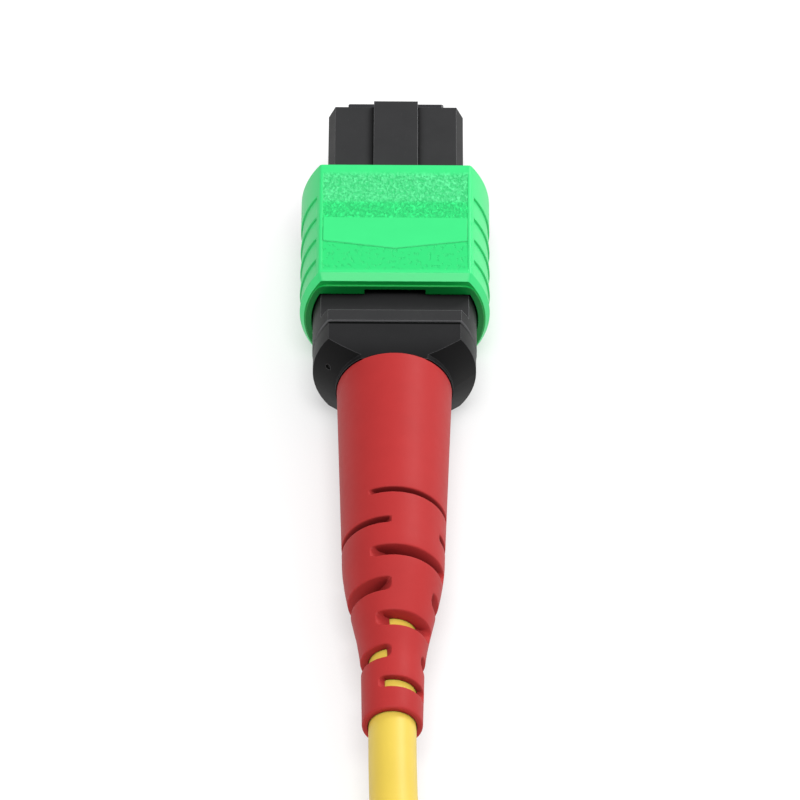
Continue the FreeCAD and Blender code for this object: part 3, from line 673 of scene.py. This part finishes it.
def sleeve_outside(mesh, sizes):
    """The sleeve's outer skin: rims, sunk panel with its plate, and grips. Gives its first and last rows."""
    flat, side = sleeve_columns(sizes)
    plate_rear, bevel, total = sleeve_marks(sizes)
    pitted = mesh.verts.layers.float.new("pitted")
    # The second mark holds the grips' step rows, where the finish paints shade.
    grip_shade = mesh.verts.layers.float.new("grip_shade")
    loops = []
    masks = []
    for behind, follow in sleeve_stations(sizes):
        inset = rim_inset(behind, sizes.front_edge)
        if behind > bevel:
            inset = sizes.bevel_height * (behind - bevel) / sizes.bevel_length
        sunk = min(smooth((behind - sizes.panel_front) / PANEL_FRONT_FALL),
                   smooth((total - sizes.panel_rear - behind) / PANEL_REAR_FALL))
        in_plate_rows = sizes.plate_set_back + FINE / 2 < behind < plate_rear - FINE / 2
        past_grip = (behind - sizes.grip_set_back) % sizes.grip_pitch
        at_grip = behind > sizes.grip_set_back and FINE / 2 < past_grip < 1.5 * FINE
        loop = []
        mask = []
        for x, z in flat_bar_ring(sleeve_radius - inset, sleeve_half - inset, sizes.corner, flat, side):
            y = behind
            grained = 0.0
            if abs(z) > sleeve_half - inset - 0.001 * MM and abs(x) < sizes.panel_half:
                y += follow * sizes.plate_point * max(0.0, 1 - abs(x) / sizes.plate_half)
                if not (in_plate_rows and abs(x) < sizes.plate_half):
                    grained = sunk
                    z -= math.copysign(sizes.panel_recess * grained, z)
            if abs(x) > sizes.grip_inset and inset < FINE / 2:
                factor = 1 - grip_drop(behind, sizes) / sleeve_radius
                x *= factor
                z *= factor
            loop.append((x, sleeve_front - y, axis_height + z))
            mask.append((grained, float(at_grip and abs(x) > sizes.grip_inset - 0.1 * MM)))
        loops.append(loop)
        masks.append(mask)
    rows = lay_grid(mesh, loops)
    for row, mask in zip(rows, masks):
        for point, value in zip(row, mask):
            point[pitted], point[grip_shade] = value
    return rows[0], rows[-1]


def hollow_ring(half, y, sizes):
    """Points once round the sleeve's hollow, with the keyway in its top."""
    radius = sleeve_radius - sizes.wall
    turn = math.asin(half / radius)
    steps = 16
    key_half = sizes.keyway_width / 2
    right = [(key_half, sizes.keyway_top), (key_half, half)]
    right += [polar(radius, turn * step / steps) for step in range(steps, -steps - 1, -1)]
    left = [(-x, z) for x, z in reversed(right)]
    return [(x, y, axis_height + z) for x, z in right + left]


class CONNECTOR_OT_sleeve(bpy.types.Operator):
    """Builds the green coupling sleeve"""
    bl_idname = "connector.sleeve"
    bl_label = "Coupling sleeve"

    def execute(self, context):
        sizes = context.scene.connector_sleeve
        mesh = bmesh.new()
        front_row, rear_row = sleeve_outside(mesh, sizes)
        flat, side = sleeve_columns(sizes)
        ring_radius = sleeve_radius - sizes.wall + sizes.ring_wall
        ring_edge = 0.03 * MM
        ring_corner = 0.5 * MM
        ring_loops = []
        for y, inset in ((ring_rear + sizes.ring_proud, 0.0), (ring_rear + ring_edge, 0.0), (ring_rear, ring_edge)):
            ring = flat_bar_ring(ring_radius - inset, sizes.ring_half - inset, ring_corner, flat, side)
            ring_loops.append([(x, y, axis_height + z) for x, z in ring])
        ring_rows = lay_grid(mesh, ring_loops)
        fill_between(mesh, rear_row, ring_rows[0])
        shoulder_y = sleeve_front - sizes.shoulder_set_back
        hollow = ((sizes.opening_half, ring_rear), (sizes.opening_half, shoulder_y),
                  (sizes.front_half, shoulder_y), (sizes.front_half, sleeve_front))
        hollow_rows = lay_grid(mesh, [hollow_ring(half, y, sizes) for half, y in hollow])
        fill_between(mesh, ring_rows[-1], hollow_rows[0])
        fill_between(mesh, front_row, hollow_rows[-1])
        piece("coupling_sleeve", mesh, "sleeve", "outer_sleeve", sharp=24)
        return {"FINISHED"}


# ---- bend-relief boot ----
SLOT_WIDTHS = tuple(width * MM for width in (0.4, 0.5, 0.8, 0.95, 1.05, 1.0, 0.85))
MOUTH_ROUNDING = 0.16 * MM
ROOT_ROUNDING = 0.1 * MM
boot_length = boot_root - boot_end


def boot_radius(behind, sizes):
    """Outer radius of the boot at a distance behind its root."""
    if behind < sizes.shank_length:
        return sizes.root_radius + (sizes.shank_radius - sizes.root_radius) * behind / sizes.shank_length
    taper_end = sizes.shank_length + sizes.neck_length
    if behind > taper_end:
        share = (behind - taper_end) / (boot_length - taper_end)
        return sizes.neck_radius + (sizes.end_radius - sizes.neck_radius) * share
    share = smooth((behind - sizes.shank_length) / sizes.neck_length)
    return sizes.shank_radius + (sizes.neck_radius - sizes.shank_radius) * share


def slots(sizes):
    """Middle, half width, floor's distance from the axis and direction of every slot, two to each row."""
    found = []
    for index, width in enumerate(SLOT_WIDTHS):
        behind = sizes.slot_first + index * sizes.slot_pitch
        floor = boot_radius(behind, sizes) * math.cos(sizes.slot_half_angle)
        lean = sizes.slot_turn + math.pi / 2 * (index % 2)
        found += [(behind, width / 2, floor, lean), (behind, width / 2, floor, lean + math.pi)]
    return found


def edge_drop(distance, depth, edge):
    """How far the surface has fallen at a signed distance into a slot with softened edges."""
    lip = min(edge, depth / 2)
    if distance <= -lip:
        return 0.0
    if distance < 0:
        return lip - math.sqrt(max(0.0, lip * lip - (distance + lip) ** 2))
    if distance < FINE:
        return lip + (depth - lip) * distance / FINE
    return depth


def boot_stations(sizes):
    """Distances behind the root at which the boot has a row of points."""
    marks = [0.0, 0.02 * MM, 0.05 * MM, ROOT_ROUNDING, boot_length]
    marks += [boot_length - from_mouth * MM for from_mouth in (0.16, 0.1, 0.04, 0.01)]
    for behind, half, _, _ in slots(sizes)[::2]:
        for offset in (-0.09, -0.07, -0.045, -0.02, 0.0, 0.02):
            marks += [behind - half + offset * MM, behind + half - offset * MM]
        inside = math.ceil(2 * half / (0.09 * MM))
        marks += [behind - half + 2 * half * step / inside for step in range(1, inside)]
    marks.sort()
    filled = []
    for here, after in zip(marks, marks[1:]):
        count = int((after - here) / (0.4 * MM))
        filled += [here] + [here + (after - here) * step / (count + 1) for step in range(1, count + 1)]
    return filled + [boot_length]


def about_axis(radius, turn, y):
    """The place at a radius about the axis and a turn from the vertical."""
    return radius * math.sin(turn), y, axis_height + radius * math.cos(turn)


class CONNECTOR_OT_boot(bpy.types.Operator):
    """Builds the red bend-relief boot with its rows of slots"""
    bl_idname = "connector.boot"
    bl_label = "Bend-relief boot"
    columns = 180

    def angles(self, behind, sizes):
        """Angle of each column, drawn to the corners where a slot opens the bore."""
        step = TAU / self.columns
        angles = [TAU * index / self.columns for index in range(self.columns)]
        for middle, half, floor, centre in slots(sizes):
            pull = 1 - smooth((abs(behind - middle) - half) / (0.5 * MM))
            if floor >= sizes.bore_radius or pull <= 0:
                continue
            opening = math.acos(floor / sizes.bore_radius)
            for corner in (centre - opening, centre + opening):
                nearest = round(corner / step)
                shift = corner - nearest * step
                for offset in range(-3, 4):
                    angles[(nearest + offset) % self.columns] += shift * pull * (1 - abs(offset) / 4)
        return angles

    def outside(self, behind, turn, sizes):
        """Radius of the boot's surface at one place."""
        radius = boot_radius(behind, sizes)
        radius -= rim_inset(boot_length - behind, MOUTH_ROUNDING) + rim_inset(behind, ROOT_ROUNDING)
        for middle, half, floor, centre in slots(sizes):
            away = math.cos(turn - centre)
            if abs(behind - middle) > half + sizes.edge or away <= 0:
                continue
            depth = radius - max(floor / away, sizes.bore_radius)
            if depth > 0:
                to_end = (math.acos(min(1.0, floor / radius)) - math.acos(away)) * radius
                inward = half - math.hypot(behind - middle, max(0.0, half - to_end))
                return radius - edge_drop(inward, depth, sizes.edge)
        return radius

    def is_open(self, place, sizes):
        """Whether a place lies on the bore where a slot cuts through to it."""
        behind = boot_root - place.y
        turn = math.atan2(place.x, place.z - axis_height)
        if math.hypot(place.x, place.z - axis_height) >= sizes.bore_radius + 0.012 * MM:
            return False
        for middle, half, floor, centre in slots(sizes):
            if abs(behind - middle) < half - FINE / 2 and floor < sizes.bore_radius:
                if math.cos(turn - centre) > math.cos(math.acos(floor / sizes.bore_radius) - 0.002):
                    return True
        return False

    def bore(self, behind, sizes):
        """Radius of the bore: wide over the crimp, then close round the cable."""
        crimp_low, crimp_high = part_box("crimp_sleeve")
        crimp_radius = (crimp_high.x - crimp_low.x) / 2 + 0.05 * MM
        crimp_end = boot_root - crimp_low.y
        narrow = smooth((behind - crimp_end + 3.0 * MM) / (3.4 * MM))
        return crimp_radius + (sizes.bore_radius - crimp_radius) * narrow

    def execute(self, context):
        sizes = context.scene.connector_boot
        mesh = bmesh.new()
        outer = []
        inner = []
        for behind in boot_stations(sizes):
            turns = self.angles(behind, sizes)
            y = boot_root - behind
            bore = self.bore(behind, sizes)
            outer.append([about_axis(self.outside(behind, turn, sizes), turn, y) for turn in turns])
            inner.append([about_axis(bore, turn, y) for turn in turns])
        outer_rows = lay_grid(mesh, outer)
        inner_rows = lay_grid(mesh, inner)
        lay_between(mesh, outer_rows[0], inner_rows[0])
        lay_between(mesh, outer_rows[-1], inner_rows[-1])
        opened = [face for face in mesh.faces if self.is_open(face.calc_center_median(), sizes)]
        bmesh.ops.delete(mesh, geom=opened, context="FACES")
        piece("bend_relief_boot", mesh, "housing", "strain_boot", sharp=40)
        return {"FINISHED"}


# ---- inner housing, rear body and the ferrule group ----
class CONNECTOR_OT_bodies(bpy.types.Operator):
    """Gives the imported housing, ferrule and inner pieces their finishes"""
    bl_idname = "connector.bodies"
    bl_label = "Housing and inner pieces"

    def execute(self, context):
        for row in frame["record"]["subparts"]:
            node = bpy.data.objects[row["node"]]
            node.data.materials.clear()
            node.data.materials.append(finish_of(row["node"])[0])
        return {"FINISHED"}


# ---- springs ----
# node, wire, turns and the sliding joint that it pushes against
SPRINGS = (("main_spring", 0.5 * MM, 6, "ferrule_slide"),
           ("sleeve_spring_left", 0.22 * MM, 5, "sleeve_slide"),
           ("sleeve_spring_right", 0.22 * MM, 5, "sleeve_slide"))


def coil_mesh(middle_x, half_x, half_z, wire, rear, front, turns):
    """A round wire coil about a line along the axis, with closed end turns."""
    steps = 28
    sides = 10
    closed = wire * 1.02
    active = (front - rear - wire - 2 * closed) / (turns - 2)
    loops = []
    y = rear + wire / 2
    for step in range(steps * turns + 1):
        cosine, sine = polar(1, TAU * step / steps)
        is_end = step < steps or step >= steps * (turns - 1)
        rise = (closed if is_end else active) / steps
        centre = Vector((middle_x + half_x * cosine, y, axis_height + half_z * sine))
        along = Vector((-half_x * sine, rise * steps / TAU, half_z * cosine)).normalized()
        outward = Vector((half_z * cosine, 0, half_x * sine)).normalized()
        across = along.cross(outward)
        round_wire = (polar(wire / 2, TAU * side / sides) for side in range(sides))
        loops.append([centre + outward * out + across * aside for out, aside in round_wire])
        y += rise
    mesh = bmesh.new()
    rows = lay_grid(mesh, loops)
    mesh.faces.new(rows[0])
    mesh.faces.new(rows[-1])
    return mesh


class CONNECTOR_OT_springs(bpy.types.Operator):
    """Winds the ferrule's spring and the sleeve's two springs"""
    bl_idname = "connector.springs"
    bl_label = "Springs"

    def execute(self, context):
        for node, wire, turns, joint in SPRINGS:
            low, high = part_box(node)
            middle = (low.x + high.x) / 2
            mesh = coil_mesh(middle, (high.x - low.x - wire) / 2, (high.z - low.z - wire) / 2, wire, low.y, high.y,
                             turns)
            made = piece(node + "_wire", mesh, "housing", node)
            travel = next(j for j in frame["record"]["behaviour"]["joints"] if j["name"] == joint)["range_m"][1]
            keep = 1 - travel / (high.y - low.y)
            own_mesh(made)
        return {"FINISHED"}


# ---- free cable ----
# control points from the boot's mouth down to the floor, in millimetres
LEAD_ROUTE = ((0, -26.215, 3.8), (0, -32.015, 3.8), (0.4, -37.915, 3.5), (3.95, -46.815, 2.0), (4.35, -52.915, 1.9))


def hank_point(share, aside, sizes):
    """A place (x, y) on the hank at a share of one turn, to one side of the middle of its rows."""
    radius = sizes.fold_radius
    run = hank_high.y - hank_low.y - (hank_high.x - hank_low.x)
    fold = math.pi * radius
    travelled = share * 2 * (run + fold)
    middle = (hank_low + hank_high) / 2
    wide = radius + aside
    if travelled < run:
        return middle.x + wide, middle.y + run / 2 - travelled
    if travelled < run + fold:
        across, along = polar(wide, (travelled - run) / radius)
        return middle.x + across, middle.y - run / 2 - along
    if travelled < 2 * run + fold:
        return middle.x - wide, middle.y - run / 2 + travelled - run - fold
    across, along = polar(wide, (travelled - 2 * run - fold) / radius)
    return middle.x - across, middle.y + run / 2 + along


def hank_points(sizes):
    """Points of the folded cable: rows beside and on each other. On the last run every turn steps over to the next
    place, the highest first, and the end stands off into the opening."""
    half = cable_radius
    floor = hank_low.z + half
    places = []
    for layer in range((sizes.turns + 1) // 2):
        sides = (half, -half) if layer % 2 == 0 else (-half, half)
        places += [(side, floor + 2 * layer * half) for side in sides]
    end_aside = -3.3 * half
    places.append((end_aside, places[-1][1]))
    per_turn = 48
    lag = 0.5 * sizes.step_share
    points = []
    for step in range(1, round((sizes.turns - 1 + sizes.last_share) * per_turn) + 1):
        turn, place = divmod(step, per_turn)
        share = place / per_turn
        begins = sizes.step_from + lag * max(0, sizes.turns - 2 - turn)
        part = smooth((share - begins) / sizes.step_share)
        aside, height = (here + (after - here) * part for here, after in zip(places[turn], places[turn + 1]))
        points.append((*hank_point(share, aside, sizes), height))
    return points


class CONNECTOR_OT_cord(bpy.types.Operator):
    """Lays the free cable along the floor and folds the rest into a hank"""
    bl_idname = "connector.cord"
    bl_label = "Cable and hank"

    def execute(self, context):
        sizes = context.scene.connector_cord
        points = [tuple(value * MM for value in point) for point in LEAD_ROUTE] + hank_points(sizes)
        curve = bpy.data.curves.new("free_cable", "CURVE")
        curve.dimensions = "3D"
        curve.bevel_depth = cable_radius
        curve.bevel_resolution = 10
        curve.resolution_u = 5
        curve.use_fill_caps = True
        spline = curve.splines.new("NURBS")
        spline.points.add(len(points) - 1)
        for control, point in zip(spline.points, points):
            control.co = (*point, 1)
        spline.order_u = 3
        spline.use_endpoint_u = True
        cable = piece("free_cable", curve, "housing", "cable_lead", "cable_hank")
        return {"FINISHED"}


def band_loop(low, high, gap, y):
    """Points round a tie's box, a gap inside it, at one distance along it."""
    corner = cable_radius
    steps = 8
    points = []
    corners = ((high.x, high.z), (low.x, high.z), (low.x, low.z), (high.x, low.z))
    for quarter, (x, z) in enumerate(corners):
        x += corner if x == low.x else -corner
        z += corner if z == low.z else -corner
        for step in range(steps + 1):
            across, up = polar(corner - gap, (quarter + step / steps) * math.pi / 2)
            points.append((x + across, y, z + up))
    return points


class CONNECTOR_OT_ties(bpy.types.Operator):
    """Closes a woven tie round each run of the hank"""
    bl_idname = "connector.ties"
    bl_label = "Hank ties"
    rows = 12

    def execute(self, context):
        for node in ("hank_tie_right", "hank_tie_left"):
            low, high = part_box(node)
            inset = 0.05 * MM
            width = high.y - low.y - 2 * inset
            mesh = bmesh.new()
            along = mesh.verts.layers.float.new("along")
            across = mesh.verts.layers.float.new("across")
            skins = []
            for gap in (0.36 * MM, 0.03 * MM):
                loops = [band_loop(low, high, gap, low.y + inset + width * index / self.rows)
                         for index in range(self.rows + 1)]
                skins.append(lay_grid(mesh, loops))
            for rows in skins:
                for index, row in enumerate(rows):
                    travelled = 0.0
                    for spot, point in enumerate(row):
                        travelled += (point.co - row[spot - 1].co).length if spot else 0.0
                        point[along] = travelled
                        point[across] = width * index / self.rows
            inner, outer = skins
            lay_between(mesh, inner[0], outer[0])
            lay_between(mesh, inner[-1], outer[-1])
            piece(node + "_band", mesh, "housing", node, sharp=50)
        return {"FINISHED"}


# ---- camera and stage ----
class CONNECTOR_OT_camera(bpy.types.Operator):
    """Sets up the camera above and behind the connector"""
    bl_idname = "connector.camera"
    bl_label = "Camera"

    def execute(self, context):
        setting = context.scene.connector_camera
        data = bpy.data.cameras.new("camera")
        data.lens = setting.lens
        data.sensor_width = 36
        data.clip_start = 0.01
        data.clip_end = 10
        camera = add_object("camera", data)
        target = Vector((0, sleeve_front, axis_height))
        back = Vector((0, -math.cos(setting.elevation), math.sin(setting.elevation)))
        camera.location = target + back * setting.distance
        look = Euler((math.pi / 2 - setting.elevation - setting.tilt, 0, 0)).to_matrix()
        turn = Euler((0, 0, setting.turn)).to_matrix()
        roll = Euler((0, 0, setting.roll)).to_matrix()
        camera.rotation_euler = (turn @ look @ roll).to_euler()
        context.scene.camera = camera
        return {"FINISHED"}


# name, place, side and power of each light
LIGHTS = (("overhead", (0.02, -0.17, 0.68), 0.34, 4.1),
          ("key", (0.24, 0.34, 0.26), 0.15, 1.15),
          ("left", (-0.36, 0.08, 0.15), 0.26, 0.08),
          ("right", (0.36, 0.04, 0.15), 0.26, 0.16))
FLOOR_HALF = 1.6
WORLD_STRENGTH = 0.1


class CONNECTOR_OT_stage(bpy.types.Operator):
    """Lays the pale floor and hangs the soft lights"""
    bl_idname = "connector.stage"
    bl_label = "Floor and lights"

    def execute(self, context):
        mesh = bpy.data.meshes.new("floor")
        corners = [(x * FLOOR_HALF, y * FLOOR_HALF, 0) for x, y in ((-1, -1), (1, -1), (1, 1), (-1, 1))]
        mesh.from_pydata(corners, [], [(0, 1, 2, 3)])
        mesh.materials.append(floor_finish(context.scene.connector_colours))
        floor = add_object("floor", mesh)
        world = context.scene.world or bpy.data.worlds.new("studio")
        context.scene.world = world
        world.use_nodes = True
        sky = world.node_tree.nodes["Background"]
        sky.inputs["Color"].default_value = (1, 1, 1, 1)
        sky.inputs["Strength"].default_value = WORLD_STRENGTH
        for name, place, side, power in LIGHTS:
            data = bpy.data.lights.new(name, "AREA")
            data.size = side
            data.energy = power
            light = add_object(name, data)
            light.location = place
            light.rotation_euler = (-Vector(place)).to_track_quat("-Z", "Y").to_euler()
        context.scene.view_settings.view_transform = "Standard"
        return {"FINISHED"}


class CONNECTOR_PT_panel(bpy.types.Panel):
    """Lists the connector's pieces"""
    bl_idname = "CONNECTOR_PT_panel"
    bl_label = "Connector"
    bl_space_type = "VIEW_3D"
    bl_region_type = "UI"
    bl_category = "Connector"

    def draw(self, context):
        for step in STEPS:
            self.layout.operator(step.bl_idname)
        for group in GROUPS:
            settings = getattr(context.scene, group)
            box = self.layout.box()
            for name in type(settings).__annotations__:
                box.prop(settings, name)


GROUPS = {
    "connector_sleeve": SleeveSizes,
    "connector_boot": BootSizes,
    "connector_cord": CordSizes,
    "connector_camera": CameraSetting,
    "connector_colours": FinishColours,
}
STEPS = (CONNECTOR_OT_camera, CONNECTOR_OT_cord, CONNECTOR_OT_ties, CONNECTOR_OT_bodies, CONNECTOR_OT_sleeve,
         CONNECTOR_OT_boot, CONNECTOR_OT_springs, CONNECTOR_OT_stage)


def register():
    for made in (*GROUPS.values(), *STEPS, CONNECTOR_PT_panel):
        bpy.utils.register_class(made)
    for name, group in GROUPS.items():
        setattr(bpy.types.Scene, name, bpy.props.PointerProperty(type=group))


def unregister():
    for name in GROUPS:
        delattr(bpy.types.Scene, name)
    for made in (CONNECTOR_PT_panel, *reversed(STEPS), *GROUPS.values()):
        bpy.utils.unregister_class(made)


def main():
    register()
    for step in STEPS:
        category, name = step.bl_idname.split(".")
        getattr(getattr(bpy.ops, category), name)()


if __name__ == "__main__":
    main()
